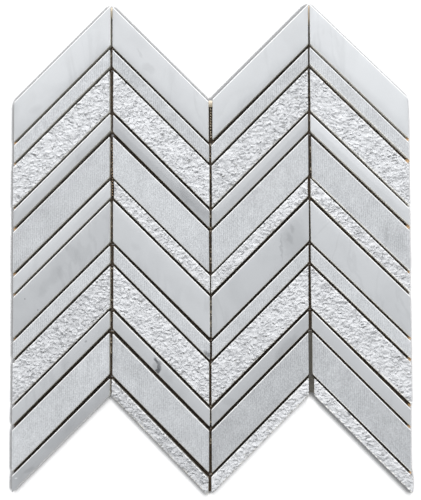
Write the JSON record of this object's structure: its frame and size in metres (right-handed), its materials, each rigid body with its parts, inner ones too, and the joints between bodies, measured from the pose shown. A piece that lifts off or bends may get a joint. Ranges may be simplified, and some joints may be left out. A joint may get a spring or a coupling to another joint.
{
  "type": "chevron mosaic wall tile",
  "caption": "Chevron mosaic wall tile: mitred marble strips, polished, combed and split-faced, in zigzag columns on a glass-fibre net that is bonded to a wall.",
  "frame": {"origin": "centre of the sheet's outline box, on the net's underside, the plane of the wall it is bonded to", "axes": "+X across the columns, +Y up the sheet, +Z out of its face"},
  "size_m": [0.2994, 0.3702, 0.0111],
  "materials": {
    "polished_marble": "polished pale grey-white marble with faint veins and eased edges",
    "combed_marble": "pale grey-white marble sawn with fine parallel grooves",
    "rough_marble": "split face of pale grey-white marble, wavy and crystalline",
    "net": "coated glass-fibre net, tan"
  },
  "bodies": {
    "root": {"net_level_yarns": "net", "net_upright_yarns": "net", "strip_c1_r01_wide_polished": "polished_marble", "strip_c1_r02_narrow_combed": "combed_marble", "strip_c1_r03_wide_rough": "rough_marble", "strip_c1_r04_narrow_polished": "polished_marble", "strip_c1_r05_wide_combed": "combed_marble", "strip_c1_r06_narrow_polished": "polished_marble", "strip_c1_r07_wide_polished": "polished_marble", "strip_c1_r08_narrow_combed": "combed_marble", "strip_c1_r09_wide_rough": "rough_marble", "strip_c1_r10_narrow_polished": "polished_marble", "strip_c1_r11_wide_combed": "combed_marble", "strip_c1_r12_narrow_polished": "polished_marble", "strip_c2_r01_wide_polished": "polished_marble", "strip_c2_r02_narrow_combed": "combed_marble", "strip_c2_r03_wide_rough": "rough_marble", "strip_c2_r04_narrow_polished": "polished_marble", "strip_c2_r05_wide_combed": "combed_marble", "strip_c2_r06_narrow_rough": "rough_marble", "strip_c2_r07_wide_polished": "polished_marble", "strip_c2_r08_narrow_combed": "combed_marble", "strip_c2_r09_wide_rough": "rough_marble", "strip_c2_r10_narrow_polished": "polished_marble", "strip_c2_r11_wide_combed": "combed_marble", "strip_c2_r12_narrow_rough": "rough_marble", "strip_c3_r01_wide_polished": "polished_marble", "strip_c3_r02_narrow_combed": "combed_marble", "strip_c3_r03_wide_rough": "rough_marble", "strip_c3_r04_narrow_polished": "polished_marble", "strip_c3_r05_wide_combed": "combed_marble", "strip_c3_r06_narrow_rough": "rough_marble", "strip_c3_r07_wide_polished": "polished_marble", "strip_c3_r08_narrow_combed": "combed_marble", "strip_c3_r09_wide_rough": "rough_marble", "strip_c3_r10_narrow_polished": "polished_marble", "strip_c3_r11_wide_combed": "combed_marble", "strip_c3_r12_narrow_rough": "rough_marble", "strip_c4_r01_wide_polished": "polished_marble", "strip_c4_r02_narrow_combed": "combed_marble", "strip_c4_r03_wide_rough": "rough_marble", "strip_c4_r04_narrow_polished": "polished_marble", "strip_c4_r05_wide_combed": "combed_marble", "strip_c4_r06_narrow_rough": "rough_marble", "strip_c4_r07_wide_polished": "polished_marble", "strip_c4_r08_narrow_combed": "combed_marble", "strip_c4_r09_wide_rough": "rough_marble", "strip_c4_r10_narrow_polished": "polished_marble", "strip_c4_r11_wide_combed": "combed_marble", "strip_c4_r12_narrow_rough": "rough_marble"}
  },
  "joints": []
}
